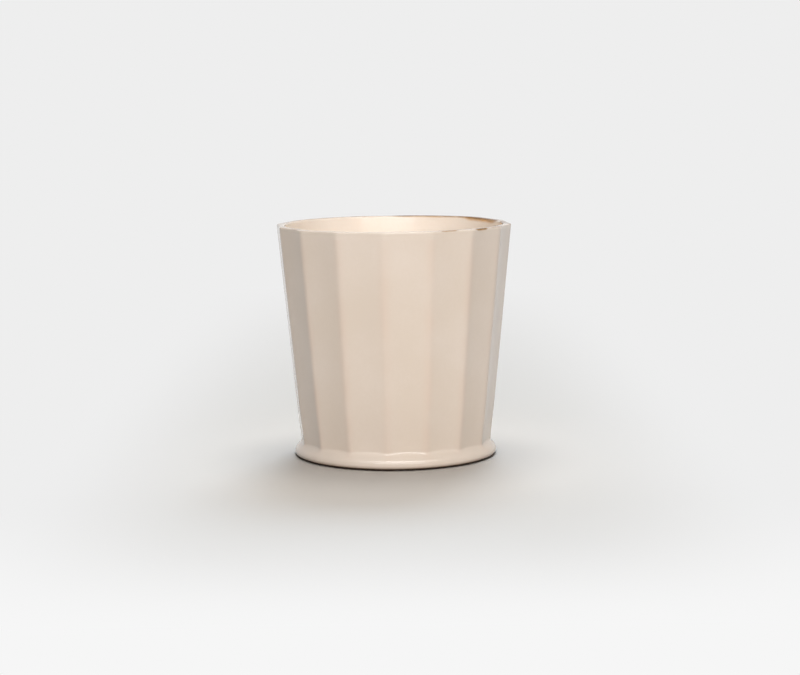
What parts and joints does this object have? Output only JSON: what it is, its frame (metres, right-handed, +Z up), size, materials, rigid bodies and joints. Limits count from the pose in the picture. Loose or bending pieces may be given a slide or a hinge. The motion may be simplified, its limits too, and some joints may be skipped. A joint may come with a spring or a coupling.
{
  "type": "faceted tumbler",
  "caption": "Tapered ceramic rocks tumbler with dished upright facets, rounded lip, flared round foot and glossy cream glaze over a bare clay foot ring; holds a short drink.",
  "frame": {"origin": "on the cup's axis, on the table plane that the foot ring stands on", "axes": "+Z up along the axis to the mouth; the pictured front faces -Y"},
  "size_m": [0.0874, 0.0874, 0.0874],
  "materials": {
    "bare_clay": "unglazed fired stoneware, fine and matt",
    "cream_glaze": "glossy cream glaze, thinner on the facet edges",
    "iron_rim": "glossy glaze that breaks from cream to iron brown on the lip",
    "liner_glaze": "smooth glossy cream liner glaze",
    "base_glaze": "glossy glaze in the recess under the foot"
  },
  "bodies": {
    "root": {"clay_body": "bare_clay", "outer_glaze": "cream_glaze", "rim_glaze": "iron_rim", "inner_glaze": "liner_glaze", "base_glaze": "base_glaze"}
  },
  "joints": []
}
